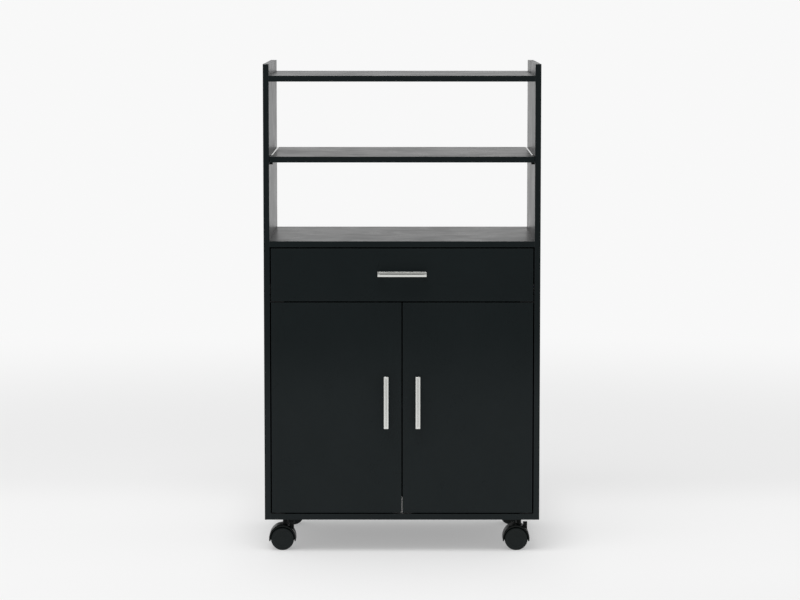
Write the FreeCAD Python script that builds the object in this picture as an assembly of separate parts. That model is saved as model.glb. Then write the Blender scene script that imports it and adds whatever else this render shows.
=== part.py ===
"""Microwave cart with one drawer, two doors, two open bays and four twin-wheel casters.

Millimetres. X runs to the right, Y to the rear and Z up. The origin is on the floor, at the middle
of the cart's outer box, so the case sits a little to the rear of it to balance the handles in front.
Pieces of the right half are drawn first and mirrored where the left half needs the same.
"""
import FreeCAD, Part
import os
from math import sqrt

V = FreeCAD.Vector
os.makedirs("parts", exist_ok=True)

# Case
WIDTH = 600.0
DEPTH = 400.0
BOARD = 12.7                    # thickness of every board
CASTER_HEIGHT = 72.5            # floor to the underside of the case
DOOR_HEIGHT = 461.8
DRAWER_FRONT_HEIGHT = 114.8
LOWER_BAY = 170.7               # clear height above the worktop
UPPER_BAY = 161.6               # clear height above the middle shelf
SIDE_LIP = 24.8                 # sides above the top shelf
REVEAL = 3.0                    # gap round each door and round the drawer front
HARDBOARD = 3.0                 # back panel and drawer bottom
GROOVE = 5.0                    # depth of the grooves that hold the hardboard
GROOVE_PLAY = 0.1               # play on each face of the hardboard in its groove
GROOVE_END_PLAY = 0.3           # play at the hardboard's edges
BACK_INSET = 10.0               # back panel in from the rear edges
DIVIDER_SETBACK = 1.0           # divider behind the drawer front's back face

# Fits
FIT = 0.05                      # radial play of pins, dowels and screws in their holes
END_PLAY = 0.5                  # play at the bottom of blind holes
AIR = 0.3                       # play between pieces that move past or rest on each other

# Cam fittings and dowels
CAM_R = 7.5
CAM_DEPTH = 10.5
CAM_SETBACK = 24.0              # cam axis from the joint
CAM_INSET = 70.0                # fittings in from the front and rear edges of a board
CAM_SOCKET_R = 2.5
CAM_SOCKET_DEPTH = 1.5
CAM_BOLT_R = 3.0
CAM_BOLT_GRIP = 9.0             # bolt inside the second board
CAM_BOLT_NOSE = 3.0             # bolt past the cam's axis
DOWEL_R = 3.0
DOWEL_GRIP = 9.0
DOWEL_REACH = 15.0
DOWEL_INSET = 102.0

# Loose shelves and their pins
MIDDLE_SHELF_END_GAP = 1.2
END_STRIP = 4.0                  # thickness of the strips let into the middle shelf's ends
END_STRIP_START = 60.0           # strips behind the middle shelf's front edge
CUPBOARD_SHELF_END_GAP = 1.5
CUPBOARD_SHELF_SETBACK = 25.0   # behind the doors' back faces
CUPBOARD_SHELF_REAR_GAP = 2.0
CUPBOARD_SHELF_HEIGHT = 230.0   # underside above the cupboard's floor
PIN_INSET = 37.0
PIN_SHANK_R = 2.5
PIN_SHANK = 9.0
PIN_HEAD_R = 3.5
PIN_HEAD = 6.5
PIN_FLAT = 2.5                  # flat on top of the head, above its axis
HOLE_PITCH = 32.0
HOLES_EACH_WAY = 2              # spare holes above and below each pin

# Countersunk screws
SCREW_R = 1.75
SCREW_HEAD_R = 3.4
SCREW_HEAD_HEIGHT = 1.5
SCREW_LENGTH = 10.0

# Door pivots
PIVOT_INSET = 12.0              # pin axis in from the door's hinge edge
PIVOT_BACK = 6.35               # pin axis behind the doors' front faces
PIVOT_PIN_R = 2.5
PIVOT_PIN_LENGTH = 8.0          # pin inside the door
PLATE = 1.5
PLATE_WIDTH = 30.0
PLATE_FRONT = 2.0               # plate's front edge behind the case's front
PLATE_TAIL = 20.0               # plate behind the doors' back faces
PLATE_SIDE_GAP = 0.5
PLATE_DOOR_GAP = 0.7            # top plate above the door
PLATE_SCREW_BACK = 12.0         # screws behind the doors' back faces
PLATE_SCREW_SPREAD = 8.0
BUSH_R = 4.5
BUSH_LENGTH = 9.0
BUSH_FLANGE_R = 6.0

# Magnetic catch on the cupboard's floor
CATCH_WIDTH = 44.0
CATCH_HEIGHT = 35.0
CATCH_DEPTH = 12.0
CATCH_FOOT = 12.0
CATCH_FOOT_THICKNESS = 3.0
CATCH_SCREW_X = 12.0
MAGNET_WIDTH = 14.0
MAGNET_HEIGHT = 22.0
MAGNET_DEPTH = 6.0
MAGNET_X = 13.0
STRIKE = 1.2
STRIKE_WIDTH = 18.0
STRIKE_HEIGHT = 28.0
STRIKE_EDGE = 4.0               # strike plate in from the door's free edge
STRIKE_PEG_R = 1.5
STRIKE_PEG = 6.0

# Handles
HANDLE_REACH = 28.0
HANDLE_BAR = 7.0                # depth of the bar
HANDLE_EDGE = 0.6
HANDLE_CROWN = 1.0               # rise of the bar's curved front above its long edges
HANDLE_SPACING = 96.0           # between the two posts
HANDLE_POST_R = 4.0
HANDLE_GROOVE_WIDTH = 1.8
HANDLE_GROOVE_DEPTH = 0.8
HANDLE_GROOVE_END = 5.0
DRAWER_HANDLE_LENGTH = 106.0
DRAWER_HANDLE_WIDTH = 11.0
DRAWER_HANDLE_HEIGHT = 61.0     # axis above the drawer front's lower edge
DOOR_HANDLE_LENGTH = 114.0
DOOR_HANDLE_WIDTH = 10.0
DOOR_HANDLE_HEIGHT = 245.8      # middle above the door's lower edge
DOOR_HANDLE_INSET = 33.0        # axis in from the door's free edge
HANDLE_SCREW_R = 2.0
HANDLE_SCREW_GRIP = 10.0
HANDLE_SCREW_HEAD_R = 4.0
HANDLE_SCREW_HEAD = 2.5

# Drawer box and roller runners
RUNNER_SPACE = 12.7             # between the case's side and the drawer's side
SHEET = 1.2                     # steel of the runners
ROLLER_R = 9.0
ROLLER_WIDTH = 6.0
ROLLER_PIN_R = 2.0
RUNNER_LIFT = 3.5               # runners above the divider
RUNNER_FLANGE = 9.0             # lower flange, from the case's side
RUNNER_LOCK_FLANGE = 3.8        # upper flange, from the case's side
RUNNER_TRACK = 7.3              # drawer runner's flange that rides on the case's roller
RUNNER_LIP = 10.0               # drawer runner's lip under the drawer's side
CASE_ROLLER_SIDE = 2.0          # case's roller from the case's side
DRAWER_ROLLER_SIDE = 2.6        # drawer's roller from the case's side
CASE_ROLLER_BACK = 18.0         # behind the drawer front's back face
DRAWER_ROLLER_END = 14.0        # in front of the drawer's rear end
RUNNER_SCREW_FIRST = 44.0       # first screw behind the drawer front
RUNNER_SCREW_LAST = 46.0        # last screw in front of the drawer's rear end
RUNNER_SCREWS = 3
DRAWER_REAR_GAP = 24.3          # drawer in front of the back panel
DRAWER_SIDE_HEIGHT = 85.0
DRAWER_SIDE_DROP = 8.0          # drawer sides below the rollers' axis
DRAWER_BOTTOM_LIFT = 1.0        # hardboard's groove above the runners' screws
DRAWER_CAM_INSET = 24.0         # cam fittings in from the sides' upper and lower edges

# Casters
CASTER_INSET_X = 43.2           # stem axis in from the case's side
CASTER_INSET_Y = 45.0           # stem axis in from the case's front and rear
CASTER_TRAIL = 6.0              # axle beside the stem axis
WHEEL_R = 25.4
WHEEL_WIDTH = 17.0
WHEEL_EDGE = 3.0
WHEEL_DISH_R = 18.0
WHEEL_DISH = 1.0
WHEEL_CAP_R = 5.0
WHEEL_CAP = 3.0                 # closed outer end of the wheel's bore
AXLE_R = 3.0
HOOD_HALF_LENGTH = 29.5
HOOD_HEIGHT = 31.2              # crown above the axle
HOOD_DROP = 5.0                 # hood's ends below the axle
HOOD_GAP = 1.5                  # hood over the wheels
HOOD_EDGE = 2.0                 # rounding of the hood's rims
WEB = 8.0                       # middle web between the wheels
WEB_BOSS_R = 11.0
WHEEL_GAP = 0.5                 # wheel beside the web
NECK_BOSS_R = 5.7
NECK_R = 5.0
NECK_SEAT = 6.0                 # neck boss below the case
STEM_R = 4.0
STEM_UP = 11.0                  # threaded stem inside the bottom board
STEM_PIN_R = 3.5
STEM_PIN = 12.0                 # swivel pin inside the hood
INSERT_R = 6.0
INSERT_FLANGE_R = 10.0
INSERT_FLANGE = 1.2
LEVER_OFFSET = 14.2             # brake lever's pin beside the stem axis, away from the axle
LEVER_RISE = 15.0               # lever's pin above the axle
LEVER_PIN_R = 1.5
LEVER_FOOT_R = 4.0
LEVER_THICKNESS = 5.0
LEVER_WIDTH = 9.0
LEVER_REACH = 20.2              # tab above the pin
LEVER_ROOM = 1.7                # slot beyond the lever, towards the stem

# Levels and planes that follow from the sizes above
INNER = WIDTH / 2 - BOARD                       # inner face of the right side
FRONT = -(DEPTH - HANDLE_REACH) / 2             # front edges of the case
REAR = FRONT + DEPTH
FACE_BACK = FRONT + BOARD                       # back faces of doors and drawer front
CASE_BOTTOM = CASTER_HEIGHT
FLOOR_TOP = CASE_BOTTOM + BOARD
DOOR_BOTTOM = FLOOR_TOP + REVEAL
DOOR_TOP = DOOR_BOTTOM + DOOR_HEIGHT
DRAWER_FRONT_BOTTOM = DOOR_TOP + REVEAL
DRAWER_FRONT_TOP = DRAWER_FRONT_BOTTOM + DRAWER_FRONT_HEIGHT
WORKTOP_BOTTOM = DRAWER_FRONT_TOP + REVEAL
WORKTOP_TOP = WORKTOP_BOTTOM + BOARD
MIDDLE_BOTTOM = WORKTOP_TOP + LOWER_BAY
TOP_SHELF_BOTTOM = MIDDLE_BOTTOM + BOARD + UPPER_BAY
SIDE_TOP = TOP_SHELF_BOTTOM + BOARD + SIDE_LIP
DIVIDER_BOTTOM = DOOR_TOP + PLATE_DOOR_GAP + PLATE
DIVIDER_TOP = DIVIDER_BOTTOM + BOARD
BACK_REAR = REAR - BACK_INSET
BACK_FRONT = BACK_REAR - HARDBOARD
CUPBOARD_SHELF_BOTTOM = FLOOR_TOP + CUPBOARD_SHELF_HEIGHT
CUPBOARD_SHELF_FRONT = FACE_BACK + CUPBOARD_SHELF_SETBACK
CUPBOARD_SHELF_REAR = BACK_FRONT - CUPBOARD_SHELF_REAR_GAP
ROLLER_Z = DIVIDER_TOP + RUNNER_LIFT + SHEET + AIR + ROLLER_R
DRAWER_SIDE_BOTTOM = ROLLER_Z - DRAWER_SIDE_DROP
DRAWER_SIDE_TOP = DRAWER_SIDE_BOTTOM + DRAWER_SIDE_HEIGHT
DRAWER_OUTER = INNER - RUNNER_SPACE             # outer face of the drawer's right side
DRAWER_INNER = DRAWER_OUTER - BOARD
DRAWER_REAR = BACK_FRONT - DRAWER_REAR_GAP
DRAWER_DEPTH = DRAWER_REAR - FACE_BACK
DRAWER_FLOOR_BOTTOM = ROLLER_Z + SCREW_R + FIT + DRAWER_BOTTOM_LIFT + GROOVE_PLAY
DOOR_OUTER = INNER - REVEAL                     # hinge edge of the right door
DOOR_INNER = REVEAL / 2                         # free edge of the right door
PIVOT_X = DOOR_OUTER - PIVOT_INSET
PIVOT_Y = FRONT + PIVOT_BACK
CATCH_FRONT = FACE_BACK + STRIKE + AIR
MAGNET_BOTTOM = FLOOR_TOP + (CATCH_HEIGHT - MAGNET_HEIGHT) / 2

RIGHT = V(1, 0, 0)
BACKWARD = V(0, 1, 0)
UP = V(0, 0, 1)


def block(x0, x1, y0, y1, z0, z1):
    """Box between two corners."""
    return Part.makeBox(x1 - x0, y1 - y0, z1 - z0, V(x0, y0, z0))


def rod(radius, start, end):
    """Round bar from one point to another."""
    along = end - start
    return Part.makeCylinder(radius, along.Length, start, along)


def mirrored(shape):
    """The same shape in the other half of the cart."""
    return shape.mirror(V(0, 0, 0), RIGHT)


def both_halves(shapes):
    return shapes + [mirrored(shape) for shape in shapes]


def save(name, *solids):
    """Write one sub-part; a group of fasteners is a compound of separate solids."""
    shape = solids[0] if len(solids) == 1 else Part.makeCompound(list(solids))
    shape.exportStep("parts/" + name + ".step")


def countersunk(head, direction, play=0.0):
    """Countersunk screw that starts at its head's face; with play, the hole for it."""
    neck = head + direction * SCREW_HEAD_HEIGHT
    cone = Part.makeCone(SCREW_HEAD_R + play, SCREW_R + play, SCREW_HEAD_HEIGHT, head, direction)
    end_play = END_PLAY if play else 0.0
    shank = rod(SCREW_R + play, neck, head + direction * (SCREW_LENGTH + end_play))
    return cone.fuse(shank)


def cam_fitting(joint, inward, opening):
    """Cam lock, its bolt, and the holes for them.

    The lock lies in the board that runs inward from the joint and faces the opening; the bolt stands
    in the other board.
    """
    centre = joint + inward * CAM_SETBACK
    face = centre + opening * (BOARD / 2)
    bottom = face - opening * CAM_DEPTH
    bolt_foot = joint - inward * CAM_BOLT_GRIP
    bolt_nose = centre + inward * CAM_BOLT_NOSE
    bolt = rod(CAM_BOLT_R, bolt_foot, bolt_nose)
    passage = rod(CAM_BOLT_R + FIT, bolt_foot - inward * END_PLAY, bolt_nose + inward * END_PLAY)
    socket = rod(CAM_SOCKET_R, face, face - opening * CAM_SOCKET_DEPTH)
    lock = rod(CAM_R - FIT, face, bottom).cut(passage).cut(socket)
    recess = rod(CAM_R, face, bottom)
    return lock, bolt, recess, passage


def dowel(joint, inward):
    """Dowel across a joint, and its hole."""
    start = joint - inward * DOWEL_GRIP
    end = joint + inward * DOWEL_REACH
    return rod(DOWEL_R, start, end), rod(DOWEL_R + FIT, start - inward * END_PLAY, end + inward * END_PLAY)


def from_ends(first, last, inset):
    """Two positions, each the same way in from one end."""
    return first + inset, last - inset


# ---- Screw places, each as (head, direction), in the right half ----

def runner_screws():
    first = FACE_BACK + RUNNER_SCREW_FIRST
    pitch = (DRAWER_REAR - RUNNER_SCREW_LAST - first) / (RUNNER_SCREWS - 1)
    return [(V(INNER - SHEET, first + pitch * i, ROLLER_Z), RIGHT) for i in range(RUNNER_SCREWS)]


def drawer_runner_screws():
    return [(V(DRAWER_OUTER + SHEET, head.y, head.z), -RIGHT) for head, direction in runner_screws()]


def plate_screws(face, direction):
    return [(V(PIVOT_X + offset, FACE_BACK + PLATE_SCREW_BACK, face), direction)
            for offset in (-PLATE_SCREW_SPREAD, PLATE_SCREW_SPREAD)]


BOTTOM_PLATE_SCREWS = plate_screws(FLOOR_TOP + PLATE, -UP)
TOP_PLATE_SCREWS = plate_screws(DIVIDER_BOTTOM - PLATE, UP)
CATCH_SCREWS = [(V(CATCH_SCREW_X, CATCH_FRONT + CATCH_DEPTH + CATCH_FOOT / 2,
                   FLOOR_TOP + CATCH_FOOT_THICKNESS), -UP)]


def screw_set(places):
    return both_halves([countersunk(head, direction) for head, direction in places])


def screw_holes(places):
    return both_halves([countersunk(head, direction, FIT) for head, direction in places])


# ---- Case ----

def fixed_boards():
    """Boards between the sides: name, underside, front edge and rear edge."""
    return [
        ("top_shelf", TOP_SHELF_BOTTOM, FRONT, REAR),
        ("worktop", WORKTOP_BOTTOM, FRONT, REAR),
        ("divider_panel", DIVIDER_BOTTOM, FACE_BACK + DIVIDER_SETBACK, BACK_FRONT - AIR),
        ("bottom_panel", CASE_BOTTOM, FRONT, REAR),
    ]


def board_fittings(bottom, front, rear):
    """Cam fittings and dowels at the right end of one fixed board."""
    middle = bottom + BOARD / 2
    cams = [cam_fitting(V(INNER, y, middle), -RIGHT, -UP) for y in from_ends(front, rear, CAM_INSET)]
    dowels = [dowel(V(INNER, y, middle), -RIGHT) for y in from_ends(front, rear, DOWEL_INSET)]
    return cams, dowels


def back_groove():
    """Room that the back panel's grooves take from the boards round it."""
    reach = INNER + GROOVE
    return block(-reach, reach, BACK_FRONT - GROOVE_PLAY, BACK_REAR + GROOVE_PLAY,
                 FLOOR_TOP - GROOVE, WORKTOP_BOTTOM + GROOVE)


def caster_places():
    """Stem axes on the underside of the case, from the front left to the rear right."""
    x = WIDTH / 2 - CASTER_INSET_X
    front, rear = from_ends(FRONT, REAR, CASTER_INSET_Y)
    return {
        "front_left": V(-x, front, CASE_BOTTOM),
        "front_right": V(x, front, CASE_BOTTOM),
        "rear_left": V(-x, rear, CASE_BOTTOM),
        "rear_right": V(x, rear, CASE_BOTTOM),
    }


def board_cuts(name):
    """Cuts that only some of the fixed boards have."""
    if name == "worktop":
        return [back_groove()]
    if name == "divider_panel":
        return screw_holes(TOP_PLATE_SCREWS)
    if name == "bottom_panel":
        inserts = [rod(INSERT_R + FIT, place, place + UP * BOARD) for place in caster_places().values()]
        return [back_groove()] + screw_holes(BOTTOM_PLATE_SCREWS + CATCH_SCREWS) + inserts
    return []


def pin_axes():
    """Shelf pins on the right side: y and z of each axis."""
    drop = AIR + PIN_FLAT
    middle = [(y, MIDDLE_BOTTOM - drop) for y in from_ends(FRONT, REAR, PIN_INSET)]
    cupboard = [(y, CUPBOARD_SHELF_BOTTOM - drop)
                for y in from_ends(CUPBOARD_SHELF_FRONT, CUPBOARD_SHELF_REAR, PIN_INSET)]
    return middle + cupboard


def shelf_pin(y, z):
    """Shelf pin on the right side, with a flat top."""
    shank = rod(PIN_SHANK_R - FIT, V(INNER, y, z), V(INNER + PIN_SHANK, y, z))
    head = rod(PIN_HEAD_R, V(INNER - PIN_HEAD, y, z), V(INNER, y, z))
    above = block(INNER - PIN_HEAD, INNER, y - PIN_HEAD_R, y + PIN_HEAD_R, z + PIN_FLAT, z + PIN_HEAD_R)
    return head.cut(above).fuse(shank)


def pin_holes():
    rows = range(-HOLES_EACH_WAY, HOLES_EACH_WAY + 1)
    return [rod(PIN_SHANK_R, V(INNER, y, z + HOLE_PITCH * row),
                V(INNER + PIN_SHANK + END_PLAY, y, z + HOLE_PITCH * row))
            for y, z in pin_axes() for row in rows]


def build_case():
    side_cuts = [back_groove()] + pin_holes()
    side_cuts += [countersunk(head, direction, FIT) for head, direction in runner_screws()]
    cam_pieces = []
    dowel_pieces = []
    for name, bottom, front, rear in fixed_boards():
        cams, dowels = board_fittings(bottom, front, rear)
        end_cuts = [cut for lock, bolt, recess, passage in cams for cut in (recess, passage)]
        end_cuts += [hole for peg, hole in dowels]
        board = block(-INNER, INNER, front, rear, bottom, bottom + BOARD)
        save(name, board.cut(both_halves(end_cuts) + board_cuts(name)))
        side_cuts += [passage for lock, bolt, recess, passage in cams]
        side_cuts += [hole for peg, hole in dowels]
        cam_pieces += [piece for lock, bolt, recess, passage in cams for piece in (lock, bolt)]
        dowel_pieces += [peg for peg, hole in dowels]

    side = block(INNER, WIDTH / 2, FRONT, REAR, CASE_BOTTOM, SIDE_TOP).cut(side_cuts)
    save("side_panel_right", side)
    save("side_panel_left", mirrored(side))
    save("cam_fittings", *both_halves(cam_pieces))
    save("wood_dowels", *both_halves(dowel_pieces))
    save("shelf_pins", *both_halves([shelf_pin(y, z) for y, z in pin_axes()]))

    reach = INNER + GROOVE - GROOVE_END_PLAY
    overlap = GROOVE - GROOVE_END_PLAY
    save("back_panel", block(-reach, reach, BACK_FRONT, BACK_REAR,
                             FLOOR_TOP - overlap, WORKTOP_BOTTOM + overlap))
    save("hardware_screws",
         *screw_set(runner_screws() + BOTTOM_PLATE_SCREWS + TOP_PLATE_SCREWS + CATCH_SCREWS))


def build_loose_shelves():
    middle = INNER - MIDDLE_SHELF_END_GAP
    strips = both_halves([block(middle - END_STRIP, middle, FRONT + END_STRIP_START, REAR,
                                MIDDLE_BOTTOM, MIDDLE_BOTTOM + BOARD)])
    board = block(-middle, middle, FRONT, REAR, MIDDLE_BOTTOM, MIDDLE_BOTTOM + BOARD)
    save("middle_shelf", board.cut(strips))
    save("middle_shelf_end_strips", *strips)
    inner = INNER - CUPBOARD_SHELF_END_GAP
    save("cupboard_shelf", block(-inner, inner, CUPBOARD_SHELF_FRONT, CUPBOARD_SHELF_REAR,
                                 CUPBOARD_SHELF_BOTTOM, CUPBOARD_SHELF_BOTTOM + BOARD))


# ---- Handles ----

def handle(length, width):
    """Bar handle along X, in front of a face at y = 0: crowned, grooved bar and two drilled posts."""
    half = length / 2
    crown = V(-half, -HANDLE_REACH, 0)
    low = V(-half, HANDLE_CROWN - HANDLE_REACH, -width / 2)
    high = V(-half, HANDLE_CROWN - HANDLE_REACH, width / 2)
    back = BACKWARD * (HANDLE_BAR - HANDLE_CROWN)
    outline = Part.Wire([Part.Arc(low, crown, high).toShape(), Part.makeLine(high, high + back),
                         Part.makeLine(high + back, low + back), Part.makeLine(low + back, low)])
    bar = Part.Face(outline).extrude(RIGHT * length)
    bar = bar.makeFillet(HANDLE_EDGE, bar.Edges)
    groove_half = half - HANDLE_GROOVE_END
    groove = block(-groove_half, groove_half, -HANDLE_REACH, HANDLE_GROOVE_DEPTH - HANDLE_REACH,
                   -HANDLE_GROOVE_WIDTH / 2, HANDLE_GROOVE_WIDTH / 2)
    solid = bar.cut(groove)
    for x in (-HANDLE_SPACING / 2, HANDLE_SPACING / 2):
        post = rod(HANDLE_POST_R, V(x, HANDLE_BAR / 2 - HANDLE_REACH, 0), V(x, 0, 0))
        bore = rod(HANDLE_SCREW_R + FIT, V(x, -HANDLE_SCREW_GRIP - END_PLAY, 0), V(x, 0, 0))
        solid = solid.fuse(post).cut(bore)
    return solid


def handle_screws(play=0.0):
    """The two screws through the board behind a handle; with play, their holes."""
    shanks = []
    for x in (-HANDLE_SPACING / 2, HANDLE_SPACING / 2):
        shank = rod(HANDLE_SCREW_R + play, V(x, -HANDLE_SCREW_GRIP, 0), V(x, BOARD, 0))
        head = rod(HANDLE_SCREW_HEAD_R, V(x, BOARD, 0), V(x, BOARD + HANDLE_SCREW_HEAD, 0))
        shanks.append(shank if play else shank.fuse(head))
    return shanks


def placed(shape, point, upright=False):
    """A copy moved to a point, first turned upright if asked."""
    copy = shape.copy()
    if upright:
        copy.rotate(V(0, 0, 0), BACKWARD, 90)
    copy.translate(point)
    return copy


# ---- Drawer ----

def drawer_cams():
    """Cam fittings at the front and rear end of the drawer's right side."""
    middle = DRAWER_OUTER - BOARD / 2
    heights = from_ends(DRAWER_SIDE_BOTTOM, DRAWER_SIDE_TOP, DRAWER_CAM_INSET)
    front = [cam_fitting(V(middle, FACE_BACK, z), BACKWARD, -RIGHT) for z in heights]
    rear = [cam_fitting(V(DRAWER_INNER, DRAWER_REAR - BOARD / 2, z), -RIGHT, -BACKWARD) for z in heights]
    return front, rear


def drawer_groove():
    """Room that the drawer bottom's grooves take from the boards round it."""
    reach = DRAWER_INNER + GROOVE
    return block(-reach, reach, FACE_BACK - GROOVE, DRAWER_REAR - BOARD + GROOVE,
                 DRAWER_FLOOR_BOTTOM - GROOVE_PLAY, DRAWER_FLOOR_BOTTOM + HARDBOARD + GROOVE_PLAY)


def build_drawer():
    front_cams, rear_cams = drawer_cams()
    groove = drawer_groove()
    handle_place = V(0, FRONT, DRAWER_FRONT_BOTTOM + DRAWER_HANDLE_HEIGHT)

    front = block(-DOOR_OUTER, DOOR_OUTER, FRONT, FACE_BACK, DRAWER_FRONT_BOTTOM, DRAWER_FRONT_TOP)
    bolt_holes = both_halves([passage for lock, bolt, recess, passage in front_cams])
    handle_holes = [placed(hole, handle_place) for hole in handle_screws(FIT)]
    save("drawer_front", front.cut(bolt_holes + handle_holes + [groove]))

    side = block(DRAWER_INNER, DRAWER_OUTER, FACE_BACK, DRAWER_REAR, DRAWER_SIDE_BOTTOM, DRAWER_SIDE_TOP)
    side_cuts = [cut for lock, bolt, recess, passage in front_cams for cut in (recess, passage)]
    side_cuts += [passage for lock, bolt, recess, passage in rear_cams]
    side_cuts += [countersunk(head, direction, FIT) for head, direction in drawer_runner_screws()]
    side = side.cut(side_cuts + [groove])
    save("drawer_side_right", side)
    save("drawer_side_left", mirrored(side))

    back = block(-DRAWER_INNER, DRAWER_INNER, DRAWER_REAR - BOARD, DRAWER_REAR,
                 DRAWER_SIDE_BOTTOM, DRAWER_SIDE_TOP)
    back_cuts = both_halves([cut for lock, bolt, recess, passage in rear_cams for cut in (recess, passage)])
    save("drawer_back", back.cut(back_cuts + [groove]))

    overlap = GROOVE - GROOVE_END_PLAY
    reach = DRAWER_INNER + overlap
    save("drawer_bottom", block(-reach, reach, FACE_BACK - overlap, DRAWER_REAR - BOARD + overlap,
                                DRAWER_FLOOR_BOTTOM, DRAWER_FLOOR_BOTTOM + HARDBOARD))
    save("drawer_cam_fittings", *both_halves(
        [piece for lock, bolt, recess, passage in front_cams + rear_cams for piece in (lock, bolt)]))
    save("drawer_screws", *screw_set(drawer_runner_screws()))
    save("drawer_handle", placed(handle(DRAWER_HANDLE_LENGTH, DRAWER_HANDLE_WIDTH), handle_place))
    save("drawer_handle_screws", *[placed(screw, handle_place) for screw in handle_screws()])


def build_runners():
    """Roller runners, drawn for the right side of the cart."""
    front = FACE_BACK + DIVIDER_SETBACK
    rear = front + DRAWER_DEPTH
    low = ROLLER_Z - ROLLER_R - AIR
    high = ROLLER_Z + ROLLER_R + AIR
    case_roller = V(INNER - CASE_ROLLER_SIDE, FACE_BACK + CASE_ROLLER_BACK, ROLLER_Z)
    drawer_roller = V(INNER - DRAWER_ROLLER_SIDE, DRAWER_REAR - DRAWER_ROLLER_END, ROLLER_Z)

    web = block(INNER - SHEET, INNER, front, rear, low - SHEET, high + SHEET)
    lower = block(INNER - RUNNER_FLANGE, INNER - SHEET, front, rear, low - SHEET, low)
    behind_roller = case_roller.y + ROLLER_R
    upper = block(INNER - RUNNER_LOCK_FLANGE, INNER - SHEET, behind_roller, rear, high, high + SHEET)
    pin_foot = case_roller + RIGHT * (CASE_ROLLER_SIDE - SHEET)
    pin = rod(ROLLER_PIN_R, pin_foot, case_roller - RIGHT * ROLLER_WIDTH)
    holes = [countersunk(head, direction, FIT) for head, direction in runner_screws()]
    case_runner = web.fuse([lower, upper, pin]).cut(holes)
    save("cabinet_runner_right", case_runner)
    save("cabinet_runner_left", mirrored(case_runner))

    outer = DRAWER_OUTER + SHEET
    web = block(DRAWER_OUTER, outer, front, DRAWER_REAR, DRAWER_SIDE_BOTTOM - SHEET, high + SHEET)
    track = block(outer, outer + RUNNER_TRACK, front, DRAWER_REAR, high, high + SHEET)
    lip = block(DRAWER_OUTER - RUNNER_LIP, DRAWER_OUTER, front, DRAWER_REAR,
                DRAWER_SIDE_BOTTOM - SHEET, DRAWER_SIDE_BOTTOM)
    pin = rod(ROLLER_PIN_R, V(outer, drawer_roller.y, ROLLER_Z), drawer_roller)
    holes = [countersunk(head, direction, FIT) for head, direction in drawer_runner_screws()]
    drawer_runner = web.fuse([track, lip, pin]).cut(holes)
    save("drawer_runner_right", drawer_runner)
    save("drawer_runner_left", mirrored(drawer_runner))

    for name, outer_face in (("cabinet_rollers", case_roller), ("drawer_rollers", drawer_roller)):
        inner_face = outer_face - RIGHT * ROLLER_WIDTH
        roller = rod(ROLLER_R, outer_face, inner_face).cut(rod(ROLLER_PIN_R + FIT, outer_face, inner_face))
        save(name, *both_halves([roller]))


# ---- Doors ----

def pivot_plate(face, toward_door, pin_end):
    """Plate on a board's face, with the pin that stands in the door's bush."""
    low, high = sorted((face, face + toward_door * PLATE))
    plate = block(INNER - PLATE_SIDE_GAP - PLATE_WIDTH, INNER - PLATE_SIDE_GAP,
                  FRONT + PLATE_FRONT, FACE_BACK + PLATE_TAIL, low, high)
    pin = rod(PIVOT_PIN_R, V(PIVOT_X, PIVOT_Y, face), V(PIVOT_X, PIVOT_Y, pin_end))
    return plate.fuse(pin)


def bush(edge, seat, inward):
    """Flanged bush in a door's edge; the flange stands out of the edge as far as the seat."""
    axis = V(PIVOT_X, PIVOT_Y, 0)
    end = edge + inward * BUSH_LENGTH
    barrel = rod(BUSH_R - FIT, axis + UP * edge, axis + UP * end)
    bore_start = edge
    if seat != edge:
        barrel = barrel.fuse(rod(BUSH_FLANGE_R, axis + UP * seat, axis + UP * edge))
        bore_start = seat
    bore_end = edge + inward * (PIVOT_PIN_LENGTH + END_PLAY)
    return barrel.cut(rod(PIVOT_PIN_R + FIT, axis + UP * bore_start, axis + UP * bore_end))


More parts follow.
